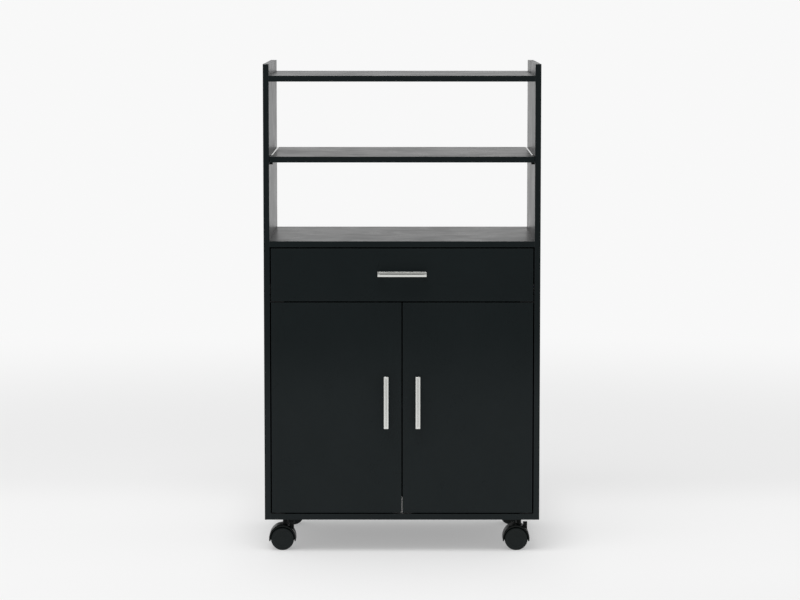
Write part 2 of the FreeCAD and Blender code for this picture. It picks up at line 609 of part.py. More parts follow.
def build_doors():
    plates = [
        pivot_plate(FLOOR_TOP, 1, DOOR_BOTTOM + PIVOT_PIN_LENGTH).cut(
            [countersunk(head, direction, FIT) for head, direction in BOTTOM_PLATE_SCREWS]),
        pivot_plate(DIVIDER_BOTTOM, -1, DOOR_TOP - PIVOT_PIN_LENGTH).cut(
            [countersunk(head, direction, FIT) for head, direction in TOP_PLATE_SCREWS]),
    ]
    save("door_pivot_plates", *both_halves(plates))

    axis = V(PIVOT_X, PIVOT_Y, 0)
    bush_holes = [
        rod(BUSH_R, axis + UP * DOOR_BOTTOM, axis + UP * (DOOR_BOTTOM + BUSH_LENGTH)),
        rod(BUSH_R, axis + UP * DOOR_TOP, axis + UP * (DOOR_TOP - BUSH_LENGTH)),
    ]
    bushes = [bush(DOOR_BOTTOM, FLOOR_TOP + PLATE + AIR, 1), bush(DOOR_TOP, DOOR_TOP, -1)]

    strike_middle = V(DOOR_INNER + STRIKE_EDGE + STRIKE_WIDTH / 2, FACE_BACK,
                      MAGNET_BOTTOM + MAGNET_HEIGHT / 2)
    strike = block(strike_middle.x - STRIKE_WIDTH / 2, strike_middle.x + STRIKE_WIDTH / 2,
                   FACE_BACK, FACE_BACK + STRIKE,
                   strike_middle.z - STRIKE_HEIGHT / 2, strike_middle.z + STRIKE_HEIGHT / 2)
    peg_end = strike_middle - BACKWARD * STRIKE_PEG
    strike = strike.fuse(rod(STRIKE_PEG_R, strike_middle, peg_end))
    peg_hole = rod(STRIKE_PEG_R + FIT, strike_middle, peg_end - BACKWARD * END_PLAY)

    handle_place = V(DOOR_INNER + DOOR_HANDLE_INSET, FRONT, DOOR_BOTTOM + DOOR_HANDLE_HEIGHT)
    bar = placed(handle(DOOR_HANDLE_LENGTH, DOOR_HANDLE_WIDTH), handle_place, upright=True)
    screws = [placed(screw, handle_place, upright=True) for screw in handle_screws()]
    screw_passages = [placed(hole, handle_place, upright=True) for hole in handle_screws(FIT)]
    panel = block(DOOR_INNER, DOOR_OUTER, FRONT, FACE_BACK, DOOR_BOTTOM, DOOR_TOP)
    panel = panel.cut(bush_holes + screw_passages + [peg_hole])

    pieces = {
        "panel": [panel],
        "handle": [bar],
        "handle_screws": screws,
        "pivot_bushes": bushes,
        "strike_plate": [strike],
    }
    for name, solids in pieces.items():
        save("right_door_" + name, *solids)
        save("left_door_" + name, *[mirrored(solid) for solid in solids])


def build_catch():
    """Double magnetic catch: housing with a foot, and a magnet behind each door."""
    half = CATCH_WIDTH / 2
    rear = CATCH_FRONT + CATCH_DEPTH
    housing = block(-half, half, CATCH_FRONT, rear, FLOOR_TOP, FLOOR_TOP + CATCH_HEIGHT)
    foot = block(-half, half, rear, rear + CATCH_FOOT, FLOOR_TOP, FLOOR_TOP + CATCH_FOOT_THICKNESS)
    magnet = block(MAGNET_X - MAGNET_WIDTH / 2, MAGNET_X + MAGNET_WIDTH / 2,
                   CATCH_FRONT, CATCH_FRONT + MAGNET_DEPTH, MAGNET_BOTTOM, MAGNET_BOTTOM + MAGNET_HEIGHT)
    magnets = both_halves([magnet])
    save("magnetic_catch", housing.fuse(foot).cut(magnets + screw_holes(CATCH_SCREWS)), *magnets)


# ---- Casters ----

def oval_arch(half_width):
    """The hood's full oval outline, cut off below its ends, across the given half width."""
    flat = V(CASTER_TRAIL, 0, WHEEL_R)
    oval = Part.Ellipse(flat + UP * HOOD_HEIGHT, flat + RIGHT * HOOD_HALF_LENGTH, flat)
    face = Part.Face(Part.Wire([oval.toShape()]))
    face.translate(-BACKWARD * half_width)
    solid = face.extrude(BACKWARD * (2 * half_width))
    below = block(CASTER_TRAIL - HOOD_HALF_LENGTH, CASTER_TRAIL + HOOD_HALF_LENGTH, -half_width, half_width,
                  WHEEL_R - HOOD_HEIGHT, WHEEL_R - HOOD_DROP)
    return solid.cut(below)


def caster_hood(braked):
    """Hood with its middle web, drawn about a stem axis at x = y = 0, axle towards +X."""
    outer_half = WEB / 2 + WHEEL_GAP + WHEEL_WIDTH
    axle = V(CASTER_TRAIL, 0, WHEEL_R)
    wheel_room = WHEEL_R + HOOD_GAP
    arch = oval_arch(outer_half)
    rims = [edge for edge in arch.Edges
            if edge.BoundBox.YLength < FIT and edge.BoundBox.ZLength > HOOD_DROP]
    arch = arch.makeFillet(HOOD_EDGE, rims)
    rooms = [rod(wheel_room, axle + BACKWARD * side * (WEB / 2), axle + BACKWARD * side * outer_half)
             for side in (-1, 1)]
    seat = CASE_BOTTOM - NECK_SEAT
    boss_bottom = WHEEL_R + sqrt(wheel_room ** 2 - CASTER_TRAIL ** 2) + HOOD_GAP
    boss = rod(NECK_BOSS_R, UP * boss_bottom, UP * seat)
    axle_boss = rod(WEB_BOSS_R, axle - BACKWARD * (WEB / 2), axle + BACKWARD * (WEB / 2))
    hood = arch.cut(rooms).fuse([boss, axle_boss])
    swivel_bore = rod(STEM_PIN_R + FIT, UP * seat, UP * (seat - STEM_PIN - END_PLAY))
    axle_bore = rod(AXLE_R + FIT, axle - BACKWARD * WEB, axle + BACKWARD * WEB)
    hood = hood.cut([swivel_bore, axle_bore])
    if braked:
        half = LEVER_THICKNESS / 2 + AIR
        pivot = V(-LEVER_OFFSET, 0, WHEEL_R + LEVER_RISE)
        slot = block(CASTER_TRAIL - HOOD_HALF_LENGTH, pivot.x + LEVER_FOOT_R + LEVER_ROOM, -half, half,
                     pivot.z - LEVER_FOOT_R - AIR, seat)
        pin = rod(LEVER_PIN_R, pivot - BACKWARD * (WEB / 2), pivot + BACKWARD * (WEB / 2))
        hood = hood.cut(slot).fuse(pin)
    return hood


def caster_wheel(side):
    """One wheel beside the web; its closed, dished face is outside."""
    inner = WEB / 2 + WHEEL_GAP
    outer = inner + WHEEL_WIDTH
    axle = V(CASTER_TRAIL, 0, WHEEL_R)
    outward = BACKWARD * side
    tyre = rod(WHEEL_R, axle + outward * inner, axle + outward * outer)
    rims = [edge for edge in tyre.Edges if edge.BoundBox.YLength < FIT]
    tyre = tyre.makeFillet(WHEEL_EDGE, rims)
    dish = rod(WHEEL_DISH_R, axle + outward * (outer - WHEEL_DISH), axle + outward * outer)
    cap = rod(WHEEL_CAP_R, axle + outward * (outer - WHEEL_DISH), axle + outward * outer)
    bore = rod(AXLE_R + FIT, axle + outward * inner, axle + outward * (outer - WHEEL_CAP))
    return tyre.cut([dish.cut(cap), bore])


def caster_axle():
    half = WEB / 2 + WHEEL_GAP + WHEEL_WIDTH - WHEEL_CAP - END_PLAY
    axle = V(CASTER_TRAIL, 0, WHEEL_R)
    return rod(AXLE_R, axle - BACKWARD * half, axle + BACKWARD * half)


def brake_lever():
    """Upright tab that tips about a pin in the hood's slot."""
    half = LEVER_THICKNESS / 2
    pivot = V(-LEVER_OFFSET, 0, WHEEL_R + LEVER_RISE)
    foot = rod(LEVER_FOOT_R, pivot - BACKWARD * half, pivot + BACKWARD * half)
    tab = block(pivot.x - LEVER_WIDTH / 2, pivot.x + LEVER_WIDTH / 2, -half, half,
                pivot.z, pivot.z + LEVER_REACH)
    bore = rod(LEVER_PIN_R + FIT, pivot - BACKWARD * half, pivot + BACKWARD * half)
    return foot.fuse(tab).cut(bore)


def build_casters():
    """Front casters trail to the left, the rear ones towards the middle of the cart."""
    turned = {"front_left": 180, "front_right": 180, "rear_left": 0, "rear_right": 180}
    for corner, place in caster_places().items():
        braked = corner.startswith("front")
        pieces = {
            "caster_hood_": caster_hood(braked),
            "caster_axle_": caster_axle(),
            "caster_wheel_a_": caster_wheel(-1),
            "caster_wheel_b_": caster_wheel(1),
        }
        if braked:
            pieces["brake_lever_"] = brake_lever()
        for name, solid in pieces.items():
            solid.rotate(V(0, 0, 0), UP, turned[corner])
            solid.translate(V(place.x, place.y, 0))
            save(name + corner, solid)

    stem_sets = []
    for place in caster_places().values():
        neck_bottom = place - UP * (NECK_SEAT - AIR)
        neck = rod(NECK_R, neck_bottom, place)
        pin = rod(STEM_PIN_R, neck_bottom - UP * STEM_PIN, neck_bottom)
        thread = rod(STEM_R, place, place + UP * STEM_UP)
        stem_sets.append(neck.fuse([pin, thread]))
        top = place + UP * BOARD
        barrel = rod(INSERT_R, place, top)
        flange = rod(INSERT_FLANGE_R, top, top + UP * INSERT_FLANGE)
        bore = rod(STEM_R + FIT, place, place + UP * (BOARD + INSERT_FLANGE))
        stem_sets.append(barrel.fuse(flange).cut(bore))
    save("caster_stem_sets", *stem_sets)


build_case()
build_loose_shelves()
build_drawer()
build_runners()
build_doors()
build_catch()
build_casters()
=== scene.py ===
"""Looks of the microwave cart: finishes, recessed screws, magnetic catch, floor, light and camera.

Metres, in the frame of the CAD part: X to the right, Y to the rear, Z up, origin on the floor.
"""
import math
import random

import bmesh
import bpy
from mathutils import Matrix, Vector


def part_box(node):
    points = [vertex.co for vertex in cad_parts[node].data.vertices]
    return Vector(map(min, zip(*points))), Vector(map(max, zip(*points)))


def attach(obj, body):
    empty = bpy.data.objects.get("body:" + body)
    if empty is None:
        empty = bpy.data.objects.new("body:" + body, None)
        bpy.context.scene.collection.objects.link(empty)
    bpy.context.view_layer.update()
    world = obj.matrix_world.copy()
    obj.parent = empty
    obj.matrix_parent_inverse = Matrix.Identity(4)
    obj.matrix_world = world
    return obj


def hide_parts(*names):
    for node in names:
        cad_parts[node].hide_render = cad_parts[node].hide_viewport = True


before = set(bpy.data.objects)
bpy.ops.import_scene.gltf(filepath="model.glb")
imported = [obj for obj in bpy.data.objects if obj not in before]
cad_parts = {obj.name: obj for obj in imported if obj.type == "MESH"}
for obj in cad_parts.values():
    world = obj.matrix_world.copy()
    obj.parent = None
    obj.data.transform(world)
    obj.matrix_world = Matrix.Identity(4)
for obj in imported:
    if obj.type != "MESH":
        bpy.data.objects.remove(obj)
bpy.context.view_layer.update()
random.seed(637)

CORNERS = ("front_left", "front_right", "rear_left", "rear_right")
BOARD_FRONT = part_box("worktop")[0][1]
EDGE_BAND = 0.0010                 # from the front of a board to the joint of its edge band
SCREEN_PITCH = 0.0016              # of the pattern that the press left in the hardboard
WELD_DISTANCE = 0.000001
WHITE = 0.94                       # brightness of the background
FRONT_ROOM = 0.42                  # reflected brightness of the room in front of the cart


# ---- Shader graphs ----

class Graph:
    """Shader nodes of a material, or of the world, whose patterns lie in its own coordinates."""

    def __init__(self, owner, coordinates="Object"):
        owner.use_nodes = True
        self.owner = owner
        self.tree = owner.node_tree
        self.tree.nodes.clear()
        self.place = self.add("ShaderNodeTexCoord").outputs[coordinates]

    def add(self, kind, inputs=None, **settings):
        node = self.tree.nodes.new(kind)
        for key, value in settings.items():
            setattr(node, key, value)
        for key, value in (inputs or {}).items():
            if isinstance(value, bpy.types.NodeSocket):
                self.tree.links.new(value, node.inputs[key])
            else:
                node.inputs[key].default_value = value
        return node

    def noise(self, scale, detail=3.0, rough=0.5, distortion=0.0, place=None):
        node = self.add("ShaderNodeTexNoise", {
            "Vector": place or self.place, "Scale": scale, "Detail": detail,
            "Roughness": rough, "Distortion": distortion})
        return node.outputs["Fac"]

    def streaks(self, axis, along, across, detail, rough):
        """Noise with one scale along an axis and another across it."""
        scale = tuple(along if letter == axis else across for letter in "XYZ")
        mapping = self.add("ShaderNodeMapping", {"Vector": self.place, "Scale": scale})
        return self.noise(1.0, detail, rough, place=mapping.outputs[0])

    def spots(self, scale):
        """Distance to the nearest of scattered points."""
        node = self.add("ShaderNodeTexVoronoi", {"Vector": self.place, "Scale": scale})
        return node.outputs["Distance"]

    def axis(self, name):
        return self.add("ShaderNodeSeparateXYZ", {"Vector": self.place}).outputs[name]

    def math(self, operation, a, b=0.0):
        return self.add("ShaderNodeMath", {0: a, 1: b}, operation=operation).outputs[0]

    def between(self, value, low, high, out_low=0.0, out_high=1.0, curve="SMOOTHSTEP"):
        """Step from one output value to another, while the value goes from low to high."""
        node = self.add("ShaderNodeMapRange", {
            "Value": value, "From Min": low, "From Max": high,
            "To Min": out_low, "To Max": out_high}, interpolation_type=curve)
        return node.outputs[0]

    def spread(self, noise, low, high):
        """Smooth step from low to high over the values that most of a noise has."""
        return self.between(noise, 0.3, 0.7, low, high)

    def mix(self, factor, a, b):
        """Number between two numbers."""
        return self.add("ShaderNodeMix", {0: factor, 2: a, 3: b}).outputs[0]

    def blend(self, factor, a, b):
        """Colour between two colours."""
        a, b = (colour if isinstance(colour, bpy.types.NodeSocket) else (*colour, 1.0)
                for colour in (a, b))
        return self.add("ShaderNodeMix", {0: factor, 6: a, 7: b}, data_type="RGBA").outputs[2]

    def stain(self, colour, mask, share, stained):
        """Colour that goes over to a stained one by a share of a mask."""
        return self.blend(self.math("MULTIPLY", mask, share), colour, stained)

    def edges(self, radius, patches):
        """The patches' value along outer edges within the radius, and 0 on flat faces."""
        flat, sharp = 0.999, 0.93
        rounded = self.add("ShaderNodeBevel", {"Radius": radius}, samples=4).outputs[0]
        true_normal = self.add("ShaderNodeNewGeometry").outputs["Normal"]
        dot = self.add("ShaderNodeVectorMath", {0: rounded, 1: true_normal},
                       operation="DOT_PRODUCT").outputs["Value"]
        return self.math("MULTIPLY", self.between(dot, flat, sharp), patches)

    def hollows(self, reach):
        """Mask for painted shade: 1 deep in grooves and corners within the reach, 0 on open faces.
        """
        open_face, deep_hollow = 0.96, 0.70
        sky = self.add("ShaderNodeAmbientOcclusion", {"Distance": reach}, samples=8,
                       only_local=True).outputs["AO"]
        return self.between(sky, open_face, deep_hollow)

    def bump(self, height, distance, strength=1.0, normal=None):
        inputs = {"Height": height, "Distance": distance, "Strength": strength}
        if normal is not None:
            inputs["Normal"] = normal
        return self.add("ShaderNodeBump", inputs).outputs[0]

    def surface(self, **inputs):
        """Ends the graph with one principled surface."""
        named = {key.replace("_", " "): value for key, value in inputs.items()}
        shader = self.add("ShaderNodeBsdfPrincipled", named)
        self.add("ShaderNodeOutputMaterial", {"Surface": shader.outputs[0]})
        return self.owner


def look(name):
    return Graph(bpy.data.materials.new(name))


# ---- Finishes ----
# Colours are linear, and the scales of noise, streaks and spots are per metre.

def melamine(axis, banded):
    """Black melamine on particle board, its faint pores running along one axis.

    A banded board shows the thin joint of its edge band behind the front edge. A painted
    reflection of the bright floor makes the lower boards a little paler, and most of all the side
    panels.
    """
    dark, light, pore = (0.0052, 0.0078, 0.0084), (0.0084, 0.0120, 0.0128), (0.0032, 0.0048, 0.0052)
    dust_and_painted_sheen, bare, joint = (0.020, 0.024, 0.025), (0.036, 0.040, 0.041), (0.0009, 0.0009, 0.0009)
    painted_sheen_starts, painted_sheen_full = 0.50, 0.30
    painted_sheen_gain = 1.4 if axis == "Z" and banded else 1.0
    g = look("melamine_" + axis.lower() + ("_banded" if banded else ""))
    pores = g.streaks(axis, 22.0, 900.0, 4.0, 0.65)
    clouds = g.noise(5.0, 5.0, 0.6)
    fine = g.noise(1500.0, 2.0, 0.5)
    smudges = g.noise(11.0, 6.0, 0.62, distortion=0.8)
    worn = g.edges(0.0012, g.between(g.noise(140.0, 5.0, 0.7), 0.38, 0.66, 0.25, 1.0))
    # painted reflection of the bright floor: below half a metre the boards grow paler towards the
    # bottom, the side panels most
    dust_and_painted_sheen_share = g.math("MULTIPLY", g.between(g.axis("Z"), painted_sheen_starts, painted_sheen_full),
                   g.between(smudges, 0.2, 0.8, 0.24 * painted_sheen_gain, 0.36 * painted_sheen_gain))
    colour = g.blend(clouds, dark, light)
    colour = g.blend(g.between(pores, 0.56, 0.72, 0.0, 0.45), colour, pore)
    colour = g.blend(dust_and_painted_sheen_share, colour, dust_and_painted_sheen)
    colour = g.stain(colour, worn, 0.55, bare)
    if banded:
        offset = g.math("ABSOLUTE", g.math("SUBTRACT", g.axis("Y"), BOARD_FRONT + EDGE_BAND))
        colour = g.blend(g.between(offset, 0.00035, 0.00015), colour, joint)
    rough = g.math("ADD", g.between(smudges, 0.30, 0.72, 0.27, 0.34),
                   g.math("MULTIPLY", worn, 0.10))
    relief = g.bump(fine, 0.00001, 0.3, g.bump(pores, 0.00002, 0.16))
    return g.surface(Base_Color=colour, Roughness=rough, Normal=relief, Specular_IOR_Level=0.09)


def hardboard():
    """Thin hardboard: lacquered black in front, raw brown with a screen pattern behind."""
    dark, light = (0.0050, 0.0056, 0.0058), (0.0092, 0.0100, 0.0102)
    raw_dark, raw_light = (0.034, 0.022, 0.014), (0.066, 0.043, 0.028)
    damp = (0.030, 0.020, 0.014)
    g = look("hardboard_black")
    normal = g.add("ShaderNodeTexCoord").outputs["Normal"]
    rearward = g.add("ShaderNodeSeparateXYZ", {"Vector": normal}).outputs["Y"]
    screened = g.between(rearward, 0.4, 0.6)
    fibres = g.noise(420.0, 5.0, 0.7, distortion=1.5)
    clouds = g.noise(6.0, 5.0, 0.6)
    across, upward = (g.math("SINE", g.math("MULTIPLY", g.axis(name), 2 * math.pi / SCREEN_PITCH))
                      for name in "XZ")
    weave = g.math("MULTIPLY", g.math("MULTIPLY", across, upward), screened)
    lacquer = g.blend(clouds, dark, light)
    raw = g.blend(fibres, raw_dark, raw_light)
    raw = g.blend(g.between(clouds, 0.30, 0.75, 0.0, 0.25), raw, damp)
    colour = g.blend(screened, lacquer, raw)
    relief = g.bump(g.math("ADD", g.math("MULTIPLY", weave, 0.5), fibres), 0.00008, 0.6)
    return g.surface(Base_Color=colour, Roughness=g.spread(fibres, 0.62, 0.78), Normal=relief,
                     Specular_IOR_Level=0.12)


def nickel(axis, bright, groove_shade_share):
    """Satin nickel, brushed along one axis, with painted shade in its groove and at the posts'
    roots.
    """
    shaded = tuple(0.91 * part for part in bright)
    polished, groove_shade_colour = (0.84, 0.84, 0.81), (0.17, 0.175, 0.165)
    g = look("satin_nickel_" + axis.lower())
    strokes = g.streaks(axis, 18.0, 3600.0, 5.0, 0.65)
    clouds = g.noise(45.0, 4.0, 0.55)
    worn = g.edges(0.0006, g.between(g.noise(220.0, 4.0, 0.7), 0.35, 0.65))
    colour = g.blend(strokes, shaded, bright)
    colour = g.stain(colour, worn, 0.25, polished)
    # painted shade: darker where the ambient-occlusion mask finds the groove and the posts' roots
    colour = g.stain(colour, g.hollows(0.0022), groove_shade_share, groove_shade_colour)
    rough = g.math("ADD", g.between(strokes, 0.25, 0.75, 0.21, 0.27), g.spread(clouds, -0.02, 0.03))
    return g.surface(Base_Color=colour, Metallic=1.0, Roughness=rough,
                     Normal=g.bump(strokes, 0.00001, 0.3))


def zinc():
    """Bright zinc plate with faint crystals and dull edges."""
    dark, light = (0.47, 0.48, 0.50), (0.66, 0.67, 0.68)
    crystal, bare = (0.40, 0.41, 0.44), (0.30, 0.29, 0.28)
    g = look("zinc_steel")
    crystals = g.spots(1400.0)
    clouds = g.noise(120.0, 4.0, 0.6)
    worn = g.edges(0.0004, g.between(g.noise(900.0, 3.0, 0.6), 0.35, 0.6))
    colour = g.blend(clouds, dark, light)
    colour = g.blend(g.between(crystals, 0.2, 0.7, 0.0, 0.35), colour, crystal)
    colour = g.stain(colour, worn, 0.6, bare)
    return g.surface(Base_Color=colour, Metallic=1.0, Roughness=g.spread(clouds, 0.26, 0.44),
                     Normal=g.bump(crystals, 0.00002, 0.35))


def black_zinc():
    """Black zinc plate, rubbed to grey at its edges."""
    dark, light, bare = (0.0060, 0.0062, 0.0070), (0.0130, 0.0128, 0.0135), (0.10, 0.10, 0.105)
    g = look("black_zinc")
    clouds = g.noise(160.0, 5.0, 0.6)
    grain = g.noise(2400.0, 3.0, 0.6)
    rubbed = g.edges(0.0004, g.between(g.noise(700.0, 4.0, 0.7), 0.5, 0.62))
    colour = g.stain(g.blend(clouds, dark, light), rubbed, 0.5, bare)
    return g.surface(Base_Color=colour, Roughness=g.spread(clouds, 0.42, 0.58),
                     Normal=g.bump(grain, 0.00002, 0.4), Specular_IOR_Level=0.2)


def aluminium():
    """Satin anodised aluminium with drawn lines along Y, its face sloping in towards the shelf."""
    dark, light, scuff = (0.56, 0.57, 0.56), (0.62, 0.63, 0.62), (0.46, 0.46, 0.45)
    g = look("satin_aluminium")
    drawn = g.streaks("Y", 30.0, 2200.0, 4.0, 0.6)
    clouds = g.noise(40.0, 5.0, 0.6)
    scuffed = g.edges(0.0005, g.between(clouds, 0.45, 0.6))
    colour = g.stain(g.blend(drawn, dark, light), scuffed, 0.4, scuff)
    slope = g.bump(g.math("ABSOLUTE", g.axis("X")), 0.3)
    return g.surface(Base_Color=colour, Metallic=1.0, Roughness=g.spread(clouds, 0.12, 0.18),
                     Normal=g.bump(drawn, 0.000004, 0.2, slope), Specular_Tint=(0.7, 0.7, 0.7, 1.0))


def epoxy():
    """Black powder coat with fine orange peel; edges rubbed to steel."""
    dark, light, steel = (0.0062, 0.0066, 0.0070), (0.0115, 0.0120, 0.0126), (0.16, 0.16, 0.17)
    g = look("runner_epoxy")
    peel = g.noise(900.0, 3.0, 0.5)
    clouds = g.noise(18.0, 5.0, 0.6)
    rubbed = g.edges(0.0005, g.between(g.noise(260.0, 5.0, 0.75), 0.52, 0.62))
    colour = g.stain(g.blend(clouds, dark, light), rubbed, 0.8, steel)
    rough = g.math("ADD", g.spread(clouds, 0.32, 0.42), g.math("MULTIPLY", rubbed, 0.1))
    return g.surface(Base_Color=colour, Roughness=rough, Normal=g.bump(peel, 0.00004, 0.5),
                     Specular_IOR_Level=0.3)


def nylon():
    """Natural nylon, slightly milky, with turning marks."""
    dark, light, dirt = (0.74, 0.72, 0.66), (0.84, 0.83, 0.78), (0.42, 0.40, 0.36)
    g = look("natural_nylon")
    marks = g.streaks("X", 1600.0, 160.0, 4.0, 0.6)
    clouds = g.noise(150.0, 4.0, 0.6)
    dirty = g.edges(0.0006, g.between(clouds, 0.45, 0.6))
    colour = g.stain(g.blend(clouds, dark, light), dirty, 0.5, dirt)
    return g.surface(Base_Color=colour, Roughness=g.spread(marks, 0.38, 0.5),
                     Normal=g.bump(marks, 0.00003, 0.4),
                     Subsurface_Weight=0.15, Subsurface_Scale=0.002)


def plastic(name, dark, light, bare, specular):
    """Moulded black plastic with a fine spark texture, scuffed at its edges."""
    dust_and_painted_sheen = tuple(0.5 * part for part in bare)
    g = look(name)
    spark = g.noise(2600.0, 3.0, 0.6)
    clouds = g.noise(70.0, 5.0, 0.6)
    scuffs = g.streaks("Z", 120.0, 900.0, 5.0, 0.75)
    worn = g.edges(0.0008, g.between(scuffs, 0.42, 0.62, 0.15, 1.0))
    dust_and_painted_sheen_share = g.between(g.noise(45.0, 6.0, 0.7), 0.54, 0.75, 0.0, 0.3)
    colour = g.blend(dust_and_painted_sheen_share, g.blend(clouds, dark, light), dust_and_painted_sheen)
    colour = g.stain(colour, worn, 0.6, bare)
    rough = g.math("ADD", g.spread(clouds, 0.36, 0.48), g.math("MULTIPLY", worn, 0.12))
    return g.surface(Base_Color=colour, Roughness=rough, Normal=g.bump(spark, 0.00003, 0.45),
                     Specular_IOR_Level=specular)


def pale_moulding():
    """Off-white moulding of the magnetic catch."""
    dark, light, dirt = (0.87, 0.87, 0.85), (0.92, 0.92, 0.90), (0.45, 0.44, 0.41)
    g = look("catch_moulding")
    clouds = g.noise(90.0, 4.0, 0.6)
    flow = g.streaks("Z", 400.0, 60.0, 4.0, 0.6)
    dirty = g.edges(0.0008, g.between(clouds, 0.45, 0.6))
    colour = g.stain(g.blend(flow, dark, light), dirty, 0.35, dirt)
    return g.surface(Base_Color=colour, Roughness=g.spread(clouds, 0.4, 0.52),
                     Normal=g.bump(g.noise(1800.0), 0.00003, 0.4), Specular_IOR_Level=0.45)


def ferrite():
    """Grey ceramic magnet with chipped edges."""
    dark, light, chipped = (0.035, 0.034, 0.034), (0.075, 0.073, 0.072), (0.16, 0.155, 0.15)
    g = look("magnet_ferrite")
    clouds = g.noise(400.0, 5.0, 0.7)
    chips = g.edges(0.0006, g.between(clouds, 0.5, 0.6))
    colour = g.blend(chips, g.blend(clouds, dark, light), chipped)
    return g.surface(Base_Color=colour, Roughness=g.spread(clouds, 0.5, 0.7),
                     Normal=g.bump(clouds, 0.00005, 0.5))


def beech():
    """Fluted beech dowels, their grain along X."""
    dark, light, fleck = (0.42, 0.27, 0.15), (0.64, 0.46, 0.29), (0.30, 0.18, 0.10)
    g = look("beech_dowel")
    grain = g.streaks("X", 60.0, 1400.0, 5.0, 0.7)
    flecks = g.streaks("X", 250.0, 2600.0, 3.0, 0.6)
    colour = g.blend(grain, dark, light)
    colour = g.blend(g.between(flecks, 0.62, 0.72, 0.0, 0.5), colour, fleck)
    return g.surface(Base_Color=colour, Roughness=g.spread(grain, 0.5, 0.66),
                     Normal=g.bump(grain, 0.00006, 0.6), Specular_IOR_Level=0.3)


FINISHES = {
    "melamine_x": melamine("X", banded=False),
    "melamine_x_banded": melamine("X", banded=True),
    "melamine_y": melamine("Y", banded=False),
    "melamine_z": melamine("Z", banded=False),
    "melamine_z_banded": melamine("Z", banded=True),
    "hardboard": hardboard(),
    "nickel_x": nickel("X", bright=(0.75, 0.76, 0.73), groove_shade_share=0.85),
    "nickel_z": nickel("Z", bright=(0.84, 0.85, 0.82), groove_shade_share=0.50),
    "zinc": zinc(),
    "black_zinc": black_zinc(),
    "aluminium": aluminium(),
    "epoxy": epoxy(),
    "nylon": nylon(),
    "black_plastic": plastic(
        "black_plastic", dark=(0.0036, 0.0050, 0.0048), light=(0.0074, 0.0092, 0.0088),
        bare=(0.030, 0.034, 0.033), specular=0.16),
    "wheel_plastic": plastic(
        "wheel_plastic", dark=(0.0030, 0.0056, 0.0056), light=(0.0068, 0.0106, 0.0106),
        bare=(0.060, 0.066, 0.063), specular=0.22),
    "moulding": pale_moulding(),
    "ferrite": ferrite(),
    "beech": beech(),
}

WEARERS = {
    "melamine_x": ["divider_panel", "cupboard_shelf", "drawer_front", "drawer_back"],
    "melamine_x_banded": ["top_shelf", "worktop", "middle_shelf", "bottom_panel"],
    "melamine_y": ["drawer_side_left", "drawer_side_right"],
    "melamine_z": ["left_door_panel", "right_door_panel"],
    "melamine_z_banded": ["side_panel_left", "side_panel_right"],
    "hardboard": ["back_panel", "drawer_bottom"],
    "nickel_x": ["drawer_handle"],
    "nickel_z": ["left_door_handle", "right_door_handle"],
    "zinc": ["cam_fittings", "drawer_cam_fittings", "caster_stem_sets", "left_door_strike_plate",
             "right_door_strike_plate"] + ["caster_axle_" + corner for corner in CORNERS],
    "black_zinc": ["door_pivot_plates"],
    "aluminium": ["middle_shelf_end_strips"],
    "epoxy": ["cabinet_runner_left", "cabinet_runner_right",
              "drawer_runner_left", "drawer_runner_right"],
    "nylon": ["cabinet_rollers", "drawer_rollers"],
    "black_plastic": ["left_door_pivot_bushes", "right_door_pivot_bushes", "shelf_pins",
                      "brake_lever_front_left", "brake_lever_front_right"]
                     + ["caster_hood_" + corner for corner in CORNERS],
    "wheel_plastic": ["caster_wheel_" + side + "_" + corner for side in "ab" for corner in CORNERS],
    "beech": ["wood_dowels"],
}

SOFT_EDGES = {                     # rounding of the nodes whose finish starts with the name
    "melamine": 0.0005,
    "hardboard": 0.0002,
    "black_plastic": 0.0003,
    "epoxy": 0.00025,
}
SCREW_EDGE = 0.00012
CATCH_EDGE = 0.00015


def soften(piece, width):
    """Small rounding on the sharp edges of a piece."""
    weld = piece.modifiers.new("weld", "WELD")
    weld.merge_threshold = WELD_DISTANCE
    bevel = piece.modifiers.new("rounding", "BEVEL")
    bevel.width = width
    bevel.segments = 2
    bevel.limit_method = "ANGLE"
    bevel.angle_limit = math.radians(40)


for finish, names in WEARERS.items():
    for name in names:
        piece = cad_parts[name]
        piece.data.materials.clear()
        piece.data.materials.append(FINISHES[finish])
        for start, width in SOFT_EDGES.items():
            if finish.startswith(start):
                soften(piece, width)


# ---- Screws with cross recesses ----

def as_object(name, bm):
    mesh = bpy.data.meshes.new(name)
    bm.to_mesh(mesh)
    bm.free()
    thing = bpy.data.objects.new(name, mesh)
    bpy.context.scene.collection.objects.link(thing)
    return thing


def lathe(profile):
    """Mesh turned about Z from (radius, height) points that start and end on the axis."""
    segments = 32
    bm = bmesh.new()
    angles = [2 * math.pi * step / segments for step in range(segments)]
    rings = [[bm.verts.new((radius * math.cos(a), radius * math.sin(a), height)) for a in angles]
             for radius, height in profile[1:-1]]
    top = bm.verts.new((0.0, 0.0, profile[0][1]))
    bottom = bm.verts.new((0.0, 0.0, profile[-1][1]))
    for step in range(segments):
        after = (step + 1) % segments
        bm.faces.new((top, rings[0][step], rings[0][after]))
        bm.faces.new((bottom, rings[-1][after], rings[-1][step]))
        for upper, lower in zip(rings, rings[1:]):
            bm.faces.new((upper[step], lower[step], lower[after], upper[after]))
    bmesh.ops.recalc_face_normals(bm, faces=bm.faces)
    return bm


def cross_cutter(reach, width, depth):
    """Two tapered blades that cut a cross recess from above."""
    bm = bmesh.new()
    for turn in (0.0, math.pi / 2):
        blade = bmesh.ops.create_cube(bm, size=2.0)["verts"]
        for vert in blade:
            taper = 1.0 if vert.co.z > 0 else 0.45
            vert.co = Vector((vert.co.x * reach * taper, vert.co.y * width * taper,
                              vert.co.z * depth))
        bmesh.ops.rotate(bm, verts=blade, cent=(0, 0, 0), matrix=Matrix.Rotation(turn, 3, "Z"))
    return bm


